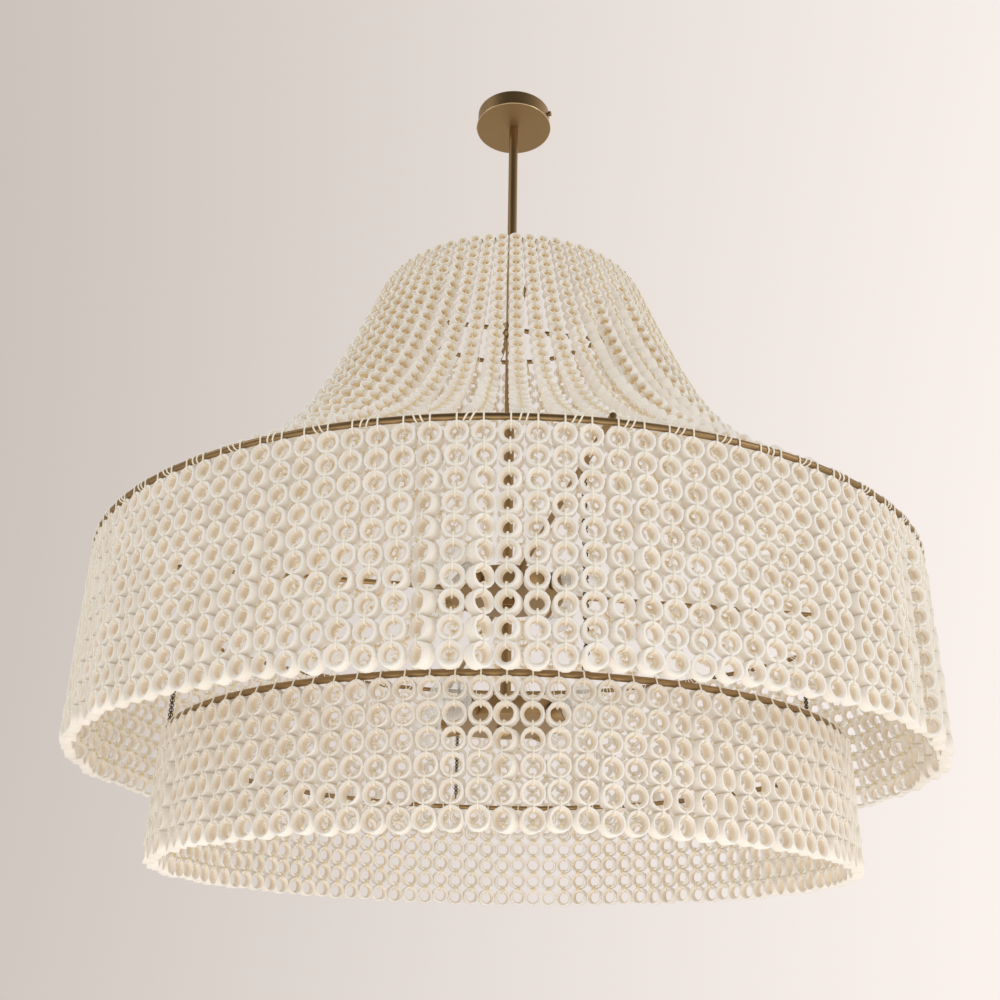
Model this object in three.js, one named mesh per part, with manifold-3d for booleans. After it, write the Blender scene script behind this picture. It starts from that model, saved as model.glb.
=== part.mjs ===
// A large three-tier beaded chandelier: a brass frame hung from a ceiling canopy, strung with ring beads.
// Millimetres, +Z up. The origin is on the ceiling, at the centre of the bracket's top face.
// Every piece is built at the front, its outward side towards -Y, and then turned about Z to its place.

import * as THREE from "three";
import { mergeVertices } from "three/addons/utils/BufferGeometryUtils.js";
import Module from "manifold-3d";

const wasm = await Module();
wasm.setup();

// Heights, down from the ceiling or from the hoop above
const TOP_HOOP_DROP = 411;
const BIG_HOOP_DROP = 932;
const LOWER_HOOP_DEPTH = 244;
const LOWER_HUB_DEPTH = 186;
const SPIDER_DEPTH = 46;

// Clearances
const SEAT_GAP = 0.3;
const THREAD_GAP = 0.3;
const OVERRUN = 4;

// Hoops and spokes, all of one round rod
const ROD_RADIUS = 4;
const BIG_HOOP_RADIUS = 600;
const LOWER_HOOP_RADIUS = 474;
const TOP_HOOP_RADIUS = 190;
const SPOKES = 4;
const SPOKE_TURN = THREE.MathUtils.degToRad(10.5);

// Stem
const STEM_RADIUS = 8;
const STEM_BORE_RADIUS = 5.3;

// Canopy
const CANOPY_RADIUS = 66;
const CANOPY_HEIGHT = 30;
const CANOPY_WALL = 1.5;
const CANOPY_EDGE = 1.2;
const CANOPY_HOLE_GAP = 0.4;
const CANOPY_TURN = THREE.MathUtils.degToRad(-18);

// Ceiling bracket and its threaded nipple
const BRACKET_LENGTH = 120;
const BRACKET_WIDTH = 24;
const BRACKET_THICKNESS = 3;
const BRACKET_EAR_HEIGHT = 20;
const NIPPLE_LENGTH = 24;
const NIPPLE_BORE_RADIUS = 3.5;
const NUT_RADIUS = 9;
const NUT_HEIGHT = 6;

// Side screws of the canopy
const SCREWS = 2;
const SCREW_DEPTH = 12;
const SCREW_RADIUS = 2;
const SCREW_HOLE_GAP = 0.3;
const SCREW_HEAD_RADIUS = 4.5;
const SCREW_HEAD_LENGTH = 5;

// Top spider and the two collars that clamp the stem
const SPIDER_HUB_RADIUS = 16;
const SPIDER_HUB_HEIGHT = 14;
const SPIDER_BEND_RADIUS = 12;
const COLLAR_RADIUS = 13;
const COLLAR_HEIGHT = 10;

// Lamp hubs, sockets and bulbs
const HUB_RADIUS = 86;
const HUB_HEIGHT = 28;
const HUB_WALL = 1.5;
const LAMPS_PER_HUB = 4;
const SPIGOT_RADIUS = 9;
const SPIGOT_LENGTH = 8;
const SOCKET_RADIUS = 17;
const SOCKET_LENGTH = 18.7;
const SOCKET_FLOOR = 2.5;
const BULB_CAP_RADIUS = 13;
const BULB_CAP_LENGTH = 15.7;
const BULB_NECK_RADIUS = 14;
const BULB_RADIUS = 30;
const BULB_NECK_LENGTH = 3.2;
const BULB_BANDS = 5;

// Finial, the cap nut under the lower hub
const FINIAL_RADIUS = 12;
const FINIAL_HEIGHT = 15;
const FINIAL_BORE_DEPTH = 9;
const FINIAL_TIP_RADIUS = 5;

// Chains between the spokes and the lower hoop
const CHAINS = 4;
const CHAIN_WIRE = 2;
const CHAIN_LINK_WIDTH = 8;
const CHAIN_LINKS = 10;
const CHAIN_LOOP_ROOM = 1;
const EYE_INNER_RADIUS = 4;

// Ring beads of both skirts
const BEAD_DIAMETER = 26.2;
const BEAD_LENGTH = 16;
const BEAD_HOLE = 15;
const ROW_PITCH = 27.5;
const STRAND_GAP = 0.95;
const TIE_RADIUS = 0.9;
const TIE_GRIP = 3;
const OUTER_STRANDS = 132;
const OUTER_PANELS = 12;
const OUTER_ROWS = 10;
const OUTER_STRAND_INSET = 4;
const LOWER_STRANDS = 108;
const LOWER_PANELS = 4;
const LOWER_ROWS = 6;

// Drape of graded beads between the top hoop and the big hoop
const DRAPE_STRANDS = 66;
const DRAPE_GORES = 3;
const DRAPE_TOP_OUTSET = 21;
const DRAPE_TOP_DEPTH = 10.6;
const DRAPE_BOTTOM_INSET = 26;
const DRAPE_BOTTOM_RISE = 8;
const DRAPE_STRAIGHT_SHARE = 0.52;
const DRAPE_CURVE_POWER = 2.8;
const DRAPE_TOP_BEAD = 18.5;
const DRAPE_BOTTOM_BEAD = 26;
const DRAPE_BEAD_LENGTH = 15;
const DRAPE_BEADED_SHARE = 0.965;
const DRAPE_CORD_SHARE = 0.985;
const DRAPE_STATIONS = 4;
const DRAPE_STATION_POWER = 0.8;
const DRAPE_OPEN_WIDTH = 0.56;
const DRAPE_OPEN_DEPTH = 5;
const DRAPE_OPEN_START = 0.37;
const DRAPE_OPEN_END = 0.76;
const DRAPE_CORD = 2;

// Facets of round pieces
const CORD_SIDES = 3;
const BAR_SIDES = 4;
const RING_SIDES = 6;
const ROD_SIDES = 8;
const STEM_SIDES = 16;
const DISH_SIDES = 24;
const TOP_HOOP_STEPS = 33;
const LOWER_HOOP_STEPS = 48;
const BIG_HOOP_STEPS = 66;

// Heights of the main levels, from the ceiling
const topHoopZ = -TOP_HOOP_DROP;
const spiderZ = topHoopZ - SPIDER_DEPTH;
const bigHoopZ = -BIG_HOOP_DROP;
const spokeZ = bigHoopZ + 2 * ROD_RADIUS + SEAT_GAP;
const lowerHoopZ = bigHoopZ - LOWER_HOOP_DEPTH;
const lowerHubZ = bigHoopZ - LOWER_HUB_DEPTH;

// Materials
function finish(color, roughness, metalness) {
  return () => new THREE.MeshStandardMaterial({ color, roughness, metalness });
}
const antiqueBrass = finish(0x8c6f45, 0.38, 0.9);
const zincSteel = finish(0xb4b4b0, 0.45, 0.9);
const ivoryWood = finish(0xeee5d6, 0.7, 0);
const clearGlass = finish(0xf2f0ea, 0.08, 0);

const chandelier = new THREE.Group();

function addPiece(name, geometry, material, turn = 0) {
  const mesh = new THREE.Mesh(geometry, material());
  mesh.name = name;
  mesh.rotation.z = turn;
  chandelier.add(mesh);
}

// Booleans
function toSolid(geometry) {
  const bare = new THREE.BufferGeometry();
  const loose = geometry.index ? geometry.toNonIndexed() : geometry;
  bare.setAttribute("position", loose.getAttribute("position"));
  const merged = mergeVertices(bare);
  return new wasm.Manifold(
    new wasm.Mesh({
      numProp: 3,
      vertProperties: merged.getAttribute("position").array,
      triVerts: new Uint32Array(merged.index.array),
    }),
  );
}

function toGeometry(solid) {
  const mesh = solid.getMesh();
  const geometry = new THREE.BufferGeometry();
  geometry.setAttribute("position", new THREE.BufferAttribute(mesh.vertProperties, 3));
  geometry.setIndex(new THREE.BufferAttribute(mesh.triVerts, 1));
  return geometry;
}

function join(geometries) {
  return toGeometry(geometries.map(toSolid).reduce((whole, next) => whole.add(next)));
}

function cut(geometry, cutters) {
  return toGeometry(cutters.map(toSolid).reduce((whole, next) => whole.subtract(next), toSolid(geometry)));
}

// Basic forms

// A profile of [radius, height] points, counter-clockwise, turned about Z.
function turned(profile, sides) {
  const points = profile.map(([radius, height]) => new THREE.Vector2(radius, height));
  return new THREE.LatheGeometry(points, sides).rotateX(Math.PI / 2);
}

function tube(inner, outer, bottom, top, sides) {
  const profile = [[inner, bottom], [outer, bottom], [outer, top], [inner, top], [inner, bottom]];
  return turned(profile, sides);
}

function box(width, depth, height, x, y, z) {
  return new THREE.BoxGeometry(width, depth, height).translate(x, y, z);
}

// A round bar along -Y from one distance to another.
function radialBar(radius, from, to, z, sides) {
  return new THREE.CylinderGeometry(radius, radius, to - from, sides).translate(0, -(from + to) / 2, z);
}

// A profile turned about Z and then laid down so that its top points along -Y.
function radialTurned(profile, z, sides) {
  return turned(profile, sides).rotateX(Math.PI / 2).translate(0, 0, z);
}

function hoop(radius, rodRadius, z, steps) {
  const profile = [];
  for (let i = 0; i <= RING_SIDES; i++) {
    const angle = (2 * Math.PI * (i + 1 / 2)) / RING_SIDES;
    profile.push([radius + rodRadius * Math.cos(angle), z + rodRadius * Math.sin(angle)]);
  }
  return turned(profile, steps);
}

// A flat closed link in the X-Z plane, its opening from bottom to top, its wire square in section.
function link(innerWidth, bottom, top, wire) {
  const outline = (halfWidth, low, high) => {
    const corner = halfWidth / 2;
    return [
      [halfWidth, low + corner], [halfWidth, high - corner], [corner, high], [-corner, high],
      [-halfWidth, high - corner], [-halfWidth, low + corner], [-corner, low], [corner, low],
    ].map(([x, y]) => new THREE.Vector2(x, y));
  };
  const shape = new THREE.Shape(outline(innerWidth / 2 + wire, bottom - wire, top + wire));
  shape.holes.push(new THREE.Path(outline(innerWidth / 2, bottom, top)));
  const flat = new THREE.ExtrudeGeometry(shape, { depth: wire, bevelEnabled: false });
  return flat.translate(0, 0, -wire / 2).rotateX(Math.PI / 2);
}

// Ceiling bracket: a flat strap with an ear bent down at each end
function bracketGeometry() {
  const earX = (BRACKET_LENGTH - BRACKET_THICKNESS) / 2;
  const earZ = -BRACKET_EAR_HEIGHT / 2;
  return join([
    box(BRACKET_LENGTH, BRACKET_WIDTH, BRACKET_THICKNESS, 0, 0, -BRACKET_THICKNESS / 2),
    box(BRACKET_THICKNESS, BRACKET_WIDTH, BRACKET_EAR_HEIGHT, earX, 0, earZ),
    box(BRACKET_THICKNESS, BRACKET_WIDTH, BRACKET_EAR_HEIGHT, -earX, 0, earZ),
  ]);
}
addPiece("ceiling_bracket", bracketGeometry(), zincSteel, CANOPY_TURN);

// Threaded nipple under the bracket, with its lock nut; the stem screws onto it
const nippleTop = -BRACKET_THICKNESS - SEAT_GAP;
const nippleRadius = STEM_BORE_RADIUS - THREAD_GAP;
const nippleBottom = nippleTop - NIPPLE_LENGTH;
const nippleGeometry = tube(NIPPLE_BORE_RADIUS, nippleRadius, nippleBottom, nippleTop, ROD_SIDES);
addPiece("nipple", nippleGeometry, zincSteel);
const nutBottom = nippleTop - NUT_HEIGHT;
const nutGeometry = tube(nippleRadius + THREAD_GAP, NUT_RADIUS, nutBottom, nippleTop, ROD_SIDES);
addPiece("lock_nut", nutGeometry, zincSteel);

// Canopy: a shallow spun cup, open to the ceiling, drilled for the stem and the side screws
function canopyGeometry() {
  const top = -SEAT_GAP;
  const bottom = -CANOPY_HEIGHT;
  const hole = STEM_RADIUS + CANOPY_HOLE_GAP;
  const inner = CANOPY_RADIUS - CANOPY_WALL;
  const cup = turned(
    [
      [hole, bottom], [CANOPY_RADIUS - CANOPY_EDGE, bottom], [CANOPY_RADIUS, bottom + CANOPY_EDGE],
      [CANOPY_RADIUS, top], [inner, top], [inner, bottom + CANOPY_WALL], [hole, bottom + CANOPY_WALL],
      [hole, bottom],
    ],
    DISH_SIDES,
  );
  const drill = new THREE.CylinderGeometry(
    SCREW_RADIUS + SCREW_HOLE_GAP, SCREW_RADIUS + SCREW_HOLE_GAP, 2 * (CANOPY_RADIUS + OVERRUN), ROD_SIDES,
  );
  return cut(cup, [drill.rotateZ(Math.PI / 2).translate(0, 0, -SCREW_DEPTH)]);
}
addPiece("canopy", canopyGeometry(), antiqueBrass, CANOPY_TURN);

// Side screws that hold the canopy against the bracket's ears
function canopyScrewGeometry() {
  const tip = BRACKET_LENGTH / 2 + SEAT_GAP;
  const head = CANOPY_RADIUS + SEAT_GAP;
  const end = head + SCREW_HEAD_LENGTH;
  const profile = [
    [0, tip], [SCREW_RADIUS, tip], [SCREW_RADIUS, head], [SCREW_HEAD_RADIUS, head],
    [SCREW_HEAD_RADIUS, end], [0, end],
  ];
  return radialTurned(profile, -SCREW_DEPTH, ROD_SIDES);
}
for (let i = 0; i < SCREWS; i++) {
  const turn = CANOPY_TURN + Math.PI / 2 + (2 * Math.PI * i) / SCREWS;
  addPiece("canopy_screw_" + (i + 1), canopyScrewGeometry(), antiqueBrass, turn);
}

// Stem: one tube from the nipple down to the finial
const stemTop = nutBottom - SEAT_GAP;
const lowerHubBottom = lowerHubZ - HUB_HEIGHT / 2;
const stemBottom = lowerHubBottom - FINIAL_BORE_DEPTH;
addPiece("stem", tube(STEM_BORE_RADIUS, STEM_RADIUS, stemBottom, stemTop, STEM_SIDES), antiqueBrass);

// A bar of flat rings, one at each station, each square to the way the bar runs.
function stationBar(stations, outline) {
  const positions = [];
  const indices = [];
  const count = outline.length;
  stations.forEach(({ point, width, depth }, i) => {
    const before = stations[Math.max(i - 1, 0)].point;
    const after = stations[Math.min(i + 1, stations.length - 1)].point;
    const along = after.clone().sub(before).normalize();
    const outward = new THREE.Vector2(-along.y, along.x).multiplyScalar(depth / 2);
    for (const [side, face] of outline) {
      positions.push((side * width) / 2, -(point.x + face * outward.x), point.y + face * outward.y);
    }
  });
  for (let i = 1; i < stations.length; i++) {
    for (let j = 0; j < count; j++) {
      const here = count * (i - 1) + j;
      const next = count * (i - 1) + ((j + 1) % count);
      indices.push(here, here + count, next + count, here, next + count, next);
    }
  }
  const last = count * (stations.length - 1);
  for (let j = 2; j < count; j++) {
    indices.push(0, j - 1, j, last, last + j, last + j - 1);
  }
  const geometry = new THREE.BufferGeometry();
  geometry.setAttribute("position", new THREE.Float32BufferAttribute(positions, 3));
  geometry.setIndex(indices);
  return geometry;
}

// The outline of a ring in shares of its half width and half depth.
function outlineShares(sides, reachShare) {
  const outline = [];
  for (let i = 0; i < sides; i++) {
    const angle = Math.PI * (1 - 1 / sides) - (2 * Math.PI * i) / sides;
    outline.push([reachShare * Math.cos(angle), reachShare * Math.sin(angle)]);
  }
  return outline;
}
const roundOutline = outlineShares(ROD_SIDES, 1);
const squareOutline = outlineShares(BAR_SIDES, Math.SQRT2);

// Top hoop, carried by a dropped spider: four arms that run level and then turn up to the hoop
addPiece("top_hoop", hoop(TOP_HOOP_RADIUS, ROD_RADIUS, topHoopZ, TOP_HOOP_STEPS), antiqueBrass);

const sleeveRadius = STEM_RADIUS + SEAT_GAP;
function spiderGeometry() {
  const rodAt = (radius, z) => ({
    point: new THREE.Vector2(radius, z), width: 2 * ROD_RADIUS, depth: 2 * ROD_RADIUS,
  });
  const bend = (angle) => rodAt(
    TOP_HOOP_RADIUS - SPIDER_BEND_RADIUS * (1 - Math.sin(angle)),
    spiderZ + SPIDER_BEND_RADIUS * (1 - Math.cos(angle)),
  );
  const stations = [
    rodAt((sleeveRadius + SPIDER_HUB_RADIUS) / 2, spiderZ),
    bend(0), bend(Math.PI / 4), bend(Math.PI / 2),
    rodAt(TOP_HOOP_RADIUS, topHoopZ - ROD_RADIUS - SEAT_GAP),
  ];
  const hubBottom = spiderZ - SPIDER_HUB_HEIGHT / 2;
  const hubTop = hubBottom + SPIDER_HUB_HEIGHT;
  const pieces = [tube(sleeveRadius, SPIDER_HUB_RADIUS, hubBottom, hubTop, STEM_SIDES)];
  for (let i = 0; i < SPOKES; i++) {
    pieces.push(stationBar(stations, roundOutline).rotateZ((2 * Math.PI * i) / SPOKES));
  }
  return join(pieces);
}
addPiece("top_spider", spiderGeometry(), antiqueBrass, SPOKE_TURN);

function collarGeometry(top) {
  return tube(sleeveRadius, COLLAR_RADIUS, top - COLLAR_HEIGHT, top, STEM_SIDES);
}
addPiece("spider_collar", collarGeometry(spiderZ - SPIDER_HUB_HEIGHT / 2 - SEAT_GAP), antiqueBrass);
addPiece("hub_collar", collarGeometry(spokeZ - HUB_HEIGHT / 2 - SEAT_GAP), antiqueBrass);

// Lamp hubs: closed drums round the stem, with a hole in the rim for each socket
function hubGeometry(z) {
  const bottom = z - HUB_HEIGHT / 2;
  const top = z + HUB_HEIGHT / 2;
  const inner = HUB_RADIUS - HUB_WALL;
  const drum = turned(
    [
      [sleeveRadius, bottom], [HUB_RADIUS, bottom], [HUB_RADIUS, top], [sleeveRadius, top],
      [sleeveRadius, top - HUB_WALL], [inner, top - HUB_WALL], [inner, bottom + HUB_WALL],
      [sleeveRadius, bottom + HUB_WALL], [sleeveRadius, bottom],
    ],
    DISH_SIDES,
  );
  const hole = SPIGOT_RADIUS + SEAT_GAP;
  const drills = lampTurns().map((turn) =>
    radialBar(hole, HUB_RADIUS - HUB_WALL - OVERRUN, HUB_RADIUS + OVERRUN, z, ROD_SIDES).rotateZ(turn),
  );
  return cut(drum, drills);
}

// The lamps stand between the spokes.
function lampTurns() {
  const turns = [];
  for (let i = 0; i < LAMPS_PER_HUB; i++) {
    turns.push(SPOKE_TURN + (2 * Math.PI * (i + 1 / 2)) / LAMPS_PER_HUB);
  }
  return turns;
}

// Socket: a cup on the hub's rim, with a spigot through the hole. The bulb's cap turns clear of its flats.
const socketBack = HUB_RADIUS + SEAT_GAP;
const socketMouth = socketBack + SOCKET_LENGTH;
function socketGeometry(z) {
  const bore = (BULB_CAP_RADIUS + THREAD_GAP) / Math.cos(Math.PI / ROD_SIDES);
  const floor = socketBack + SOCKET_FLOOR;
  const spigotEnd = socketBack - SPIGOT_LENGTH;
  const profile = [
    [0, spigotEnd], [SPIGOT_RADIUS, spigotEnd], [SPIGOT_RADIUS, socketBack], [SOCKET_RADIUS, socketBack],
    [SOCKET_RADIUS, socketMouth], [bore, socketMouth], [bore, floor], [0, floor],
  ];
  return radialTurned(profile, z, ROD_SIDES);
}

// A clear globe bulb: screw cap, neck and a round glass that the neck runs into
function bulbGeometry(z) {
  const neck = socketMouth + SEAT_GAP;
  const neckEnd = neck + BULB_NECK_LENGTH;
  const capStart = neck - BULB_CAP_LENGTH;
  const firstAngle = Math.asin(BULB_NECK_RADIUS / BULB_RADIUS);
  const centre = neckEnd + BULB_RADIUS * Math.cos(firstAngle);
  const profile = [
    [0, capStart], [BULB_CAP_RADIUS, capStart], [BULB_CAP_RADIUS, neck], [BULB_NECK_RADIUS, neck],
  ];
  for (let i = 0; i < BULB_BANDS; i++) {
    const angle = firstAngle + ((Math.PI - firstAngle) * i) / BULB_BANDS;
    profile.push([BULB_RADIUS * Math.sin(angle), centre - BULB_RADIUS * Math.cos(angle)]);
  }
  profile.push([0, centre + BULB_RADIUS]);
  return radialTurned(profile, z, ROD_SIDES);
}

for (const [level, z] of [["upper", spokeZ], ["lower", lowerHubZ]]) {
  addPiece(level + "_hub", hubGeometry(z), antiqueBrass);
  lampTurns().forEach((turn, i) => {
    addPiece(level + "_socket_" + (i + 1), socketGeometry(z), antiqueBrass, turn);
    addPiece(level + "_bulb_" + (i + 1), bulbGeometry(z), clearGlass, turn);
  });
}

// Finial: a blind cap nut on the end of the stem, which carries the lower hub
function finialGeometry() {
  const top = lowerHubBottom - SEAT_GAP;
  const bottom = top - FINIAL_HEIGHT;
  const bore = STEM_RADIUS + THREAD_GAP;
  const boreEnd = top - FINIAL_BORE_DEPTH;
  return turned(
    [
      [0, bottom], [FINIAL_TIP_RADIUS, bottom], [FINIAL_RADIUS, boreEnd], [FINIAL_RADIUS, top],
      [bore, top], [bore, boreEnd], [0, boreEnd],
    ],
    STEM_SIDES,
  );
}
addPiece("finial", finialGeometry(), antiqueBrass);

// Big hoop and the four spokes that lie on it, butted to the upper hub
addPiece("big_hoop", hoop(BIG_HOOP_RADIUS, ROD_RADIUS, bigHoopZ, BIG_HOOP_STEPS), antiqueBrass);
for (let i = 0; i < SPOKES; i++) {
  const spoke = radialBar(ROD_RADIUS, HUB_RADIUS + SEAT_GAP, BIG_HOOP_RADIUS, spokeZ, ROD_SIDES);
  addPiece("spoke_" + (i + 1), spoke, antiqueBrass, SPOKE_TURN + (2 * Math.PI * i) / SPOKES);
}

// Lower hoop, with an eye standing on it for each chain
const eyeBarZ = lowerHoopZ + ROD_RADIUS + 2 * EYE_INNER_RADIUS + CHAIN_WIRE / 2;
function lowerHoopGeometry() {
  const ring = hoop(LOWER_HOOP_RADIUS, ROD_RADIUS, lowerHoopZ, LOWER_HOOP_STEPS);
  const eyes = [];
  for (let i = 0; i < CHAINS; i++) {
    const bottom = lowerHoopZ + ROD_RADIUS;
    const eye = link(2 * EYE_INNER_RADIUS, bottom, bottom + 2 * EYE_INNER_RADIUS, CHAIN_WIRE);
    eyes.push(eye.translate(0, -LOWER_HOOP_RADIUS, 0).rotateZ(SPOKE_TURN + (2 * Math.PI * i) / CHAINS));
  }
  return join([ring, ...eyes]);
}
addPiece("lower_hoop", lowerHoopGeometry(), antiqueBrass);

// Chain: a wide link round the spoke, plain links set crosswise, and a last link through the hoop's eye
function chainGeometry() {
  const loopInner = 2 * (ROD_RADIUS + CHAIN_LOOP_ROOM);
  const loopTop = spokeZ + ROD_RADIUS + SEAT_GAP;
  const loopBottom = loopTop - loopInner;
  const lastBottom = eyeBarZ - CHAIN_WIRE / 2 - SEAT_GAP;
  const lastTop = lastBottom + 2 * EYE_INNER_RADIUS;
  const first = link(loopInner, loopBottom, loopTop, CHAIN_WIRE);
  const lastInner = CHAIN_LINK_WIDTH - 2 * CHAIN_WIRE;
  const last = link(lastInner, lastBottom, lastTop, CHAIN_WIRE).rotateZ(Math.PI / 2);
  const pieces = [first, last];
  const start = loopBottom - CHAIN_WIRE / 2;
  const pitch = (start - lastTop - CHAIN_WIRE / 2) / CHAIN_LINKS;
  for (let i = 0; i < CHAIN_LINKS; i++) {
    const middle = start - pitch * (i + 1 / 2);
    const body = box(CHAIN_WIRE, CHAIN_LINK_WIDTH, pitch + CHAIN_WIRE / 2, 0, 0, middle);
    pieces.push(i % 2 ? body.rotateZ(Math.PI / 2) : body);
  }
  return join(pieces).translate(0, -LOWER_HOOP_RADIUS, 0);
}
for (let i = 0; i < CHAINS; i++) {
  addPiece("chain_" + (i + 1), chainGeometry(), antiqueBrass, SPOKE_TURN + (2 * Math.PI * i) / CHAINS);
}

// A short cord across the front, level, from one strand to the next
function tie(gap, radius, z) {
  const length = gap + 2 * TIE_GRIP;
  const cord = new THREE.CylinderGeometry(TIE_RADIUS, TIE_RADIUS, length, CORD_SIDES);
  return cord.rotateZ(Math.PI / 2).translate(0, -radius, z);
}

// A strand of a skirt: a bar as wide as a bead and as deep as a bead is long
function solidStrand(radius, rows, top) {
  const height = (rows - 1) * ROW_PITCH + BEAD_DIAMETER;
  return box(BEAD_DIAMETER, BEAD_LENGTH, height, 0, -radius, top - height / 2);
}

// The same bar with one tall opening below its first row, as wide as the beads' holes
function openStrand(radius, rows, top) {
  const height = (rows - 1) * ROW_PITCH - (BEAD_DIAMETER - BEAD_HOLE) / 2;
  const middle = top - BEAD_DIAMETER - height / 2;
  const opening = box(BEAD_HOLE, BEAD_LENGTH + 2 * OVERRUN, height, 0, -radius, middle);
  return cut(solidStrand(radius, rows, top), [opening]);
}

// Skirt panel: strands side by side, tied together through the first row
function skirtPanelGeometry(strand, radius, strands, turnStep, top) {
  const gap = 2 * radius * Math.sin(turnStep / 2) - BEAD_DIAMETER;
  const tieZ = top - BEAD_DIAMETER / 2;
  const tieRadius = radius * Math.cos(turnStep / 2);
  const pieces = [];
  for (let i = 0; i < strands; i++) {
    const turn = (i - (strands - 1) / 2) * turnStep;
    pieces.push(strand.clone().rotateZ(turn));
    if (i < strands - 1) {
      pieces.push(tie(gap, tieRadius, tieZ).rotateZ(turn + turnStep / 2));
    }
  }
  return join(pieces);
}

function addSkirt(name, makeStrand, panels, strands, radius, rows, hoopZ) {
  const perPanel = strands / panels;
  const top = hoopZ - ROD_RADIUS - STRAND_GAP;
  const strand = makeStrand(radius, rows, top);
  for (let i = 0; i < panels; i++) {
    const panel = skirtPanelGeometry(strand, radius, perPanel, (2 * Math.PI) / strands, top);
    addPiece(name + "_" + (i + 1), panel, ivoryWood, (2 * Math.PI * i) / panels);
  }
}
const outerStrandRadius = BIG_HOOP_RADIUS - OUTER_STRAND_INSET;
addSkirt("outer_skirt", openStrand, OUTER_PANELS, OUTER_STRANDS, outerStrandRadius, OUTER_ROWS, bigHoopZ);
addSkirt("lower_skirt", solidStrand, LOWER_PANELS, LOWER_STRANDS, LOWER_HOOP_RADIUS, LOWER_ROWS, lowerHoopZ);

// Drape: strands that sweep from the top hoop out to the big hoop, a cord at each end of each
const drapeTopRadius = TOP_HOOP_RADIUS + DRAPE_TOP_OUTSET;
const drapeBottomRadius = BIG_HOOP_RADIUS - DRAPE_BOTTOM_INSET;
function drapePoint(share) {
  const topZ = topHoopZ - DRAPE_TOP_DEPTH;
  const bottomZ = bigHoopZ + DRAPE_BOTTOM_RISE;
  const sweep = DRAPE_STRAIGHT_SHARE * share + (1 - DRAPE_STRAIGHT_SHARE) * share ** DRAPE_CURVE_POWER;
  return new THREE.Vector2(
    drapeTopRadius + (drapeBottomRadius - drapeTopRadius) * sweep,
    topZ + (bottomZ - topZ) * share,
  );
}

function beadStation(share, widthShare, depthShare) {
  const bead = DRAPE_TOP_BEAD + (DRAPE_BOTTOM_BEAD - DRAPE_TOP_BEAD) * share;
  const point = drapePoint(share * DRAPE_BEADED_SHARE);
  return { point, width: widthShare * bead, depth: depthShare * DRAPE_BEAD_LENGTH };
}

function drapeStations() {
  const cordEnd = (radius, z) => ({
    point: new THREE.Vector2(radius, z), width: DRAPE_CORD, depth: DRAPE_CORD,
  });
  const reach = (ROD_RADIUS + 2 * SEAT_GAP) / Math.SQRT2;
  const stations = [cordEnd(TOP_HOOP_RADIUS + reach, topHoopZ - reach)];
  for (let i = 0; i <= DRAPE_STATIONS; i++) {
    stations.push(beadStation((i / DRAPE_STATIONS) ** DRAPE_STATION_POWER, 1, 1));
  }
  const cordStart = drapePoint(DRAPE_CORD_SHARE);
  stations.push(cordEnd(cordStart.x, cordStart.y), cordEnd(BIG_HOOP_RADIUS - reach, bigHoopZ + reach));
  return stations;
}

// A strand of the drape, with one tall opening in its middle
function drapeStrandGeometry() {
  const opening = [DRAPE_OPEN_START, DRAPE_OPEN_END].map((share) =>
    beadStation(share, DRAPE_OPEN_WIDTH, DRAPE_OPEN_DEPTH),
  );
  return cut(stationBar(drapeStations(), squareOutline), [stationBar(opening, squareOutline)]);
}

function drapeGoreGeometry() {
  const strands = DRAPE_STRANDS / DRAPE_GORES;
  const turnStep = (2 * Math.PI) / DRAPE_STRANDS;
  const strand = drapeStrandGeometry();
  const tiePoint = drapePoint(DRAPE_TOP_BEAD / 2 / (BIG_HOOP_DROP - TOP_HOOP_DROP));
  const tieRadius = tiePoint.x * Math.cos(turnStep / 2);
  const gap = 2 * tiePoint.x * Math.sin(turnStep / 2) - DRAPE_TOP_BEAD;
  const pieces = [];
  for (let i = 0; i < strands; i++) {
    pieces.push(strand.clone().rotateZ(i * turnStep));
    if (i < strands - 1) {
      pieces.push(tie(gap, tieRadius, tiePoint.y).rotateZ((i + 1 / 2) * turnStep));
    }
  }
  return join(pieces);
}

// The drape's strands end half way between the outer skirt's.
for (let i = 0; i < DRAPE_GORES; i++) {
  const turn = Math.PI / OUTER_STRANDS + (2 * Math.PI * i) / DRAPE_GORES;
  addPiece("drape_" + (i + 1), drapeGoreGeometry(), ivoryWood, turn);
}

export default chandelier;
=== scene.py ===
import math
import random

import bmesh
import bpy
import numpy as np
from mathutils import Matrix, Vector


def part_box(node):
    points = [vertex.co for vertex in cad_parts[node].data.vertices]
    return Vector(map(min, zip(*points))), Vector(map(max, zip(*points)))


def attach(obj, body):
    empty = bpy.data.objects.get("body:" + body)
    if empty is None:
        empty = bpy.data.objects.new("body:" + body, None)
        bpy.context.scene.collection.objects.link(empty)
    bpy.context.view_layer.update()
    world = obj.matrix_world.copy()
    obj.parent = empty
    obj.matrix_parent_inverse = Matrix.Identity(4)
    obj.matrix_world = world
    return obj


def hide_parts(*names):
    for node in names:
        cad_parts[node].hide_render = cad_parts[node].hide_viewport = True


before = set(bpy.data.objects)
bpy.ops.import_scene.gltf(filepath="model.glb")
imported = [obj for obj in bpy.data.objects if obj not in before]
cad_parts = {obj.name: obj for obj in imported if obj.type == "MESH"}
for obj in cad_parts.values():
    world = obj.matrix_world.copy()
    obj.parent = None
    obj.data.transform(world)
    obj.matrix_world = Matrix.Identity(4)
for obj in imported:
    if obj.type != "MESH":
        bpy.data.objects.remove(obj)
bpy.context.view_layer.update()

# Camera
# It stands below the chandelier and in front of it, and looks up at it. Its place, angles and lens are
# those of the photograph.

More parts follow.
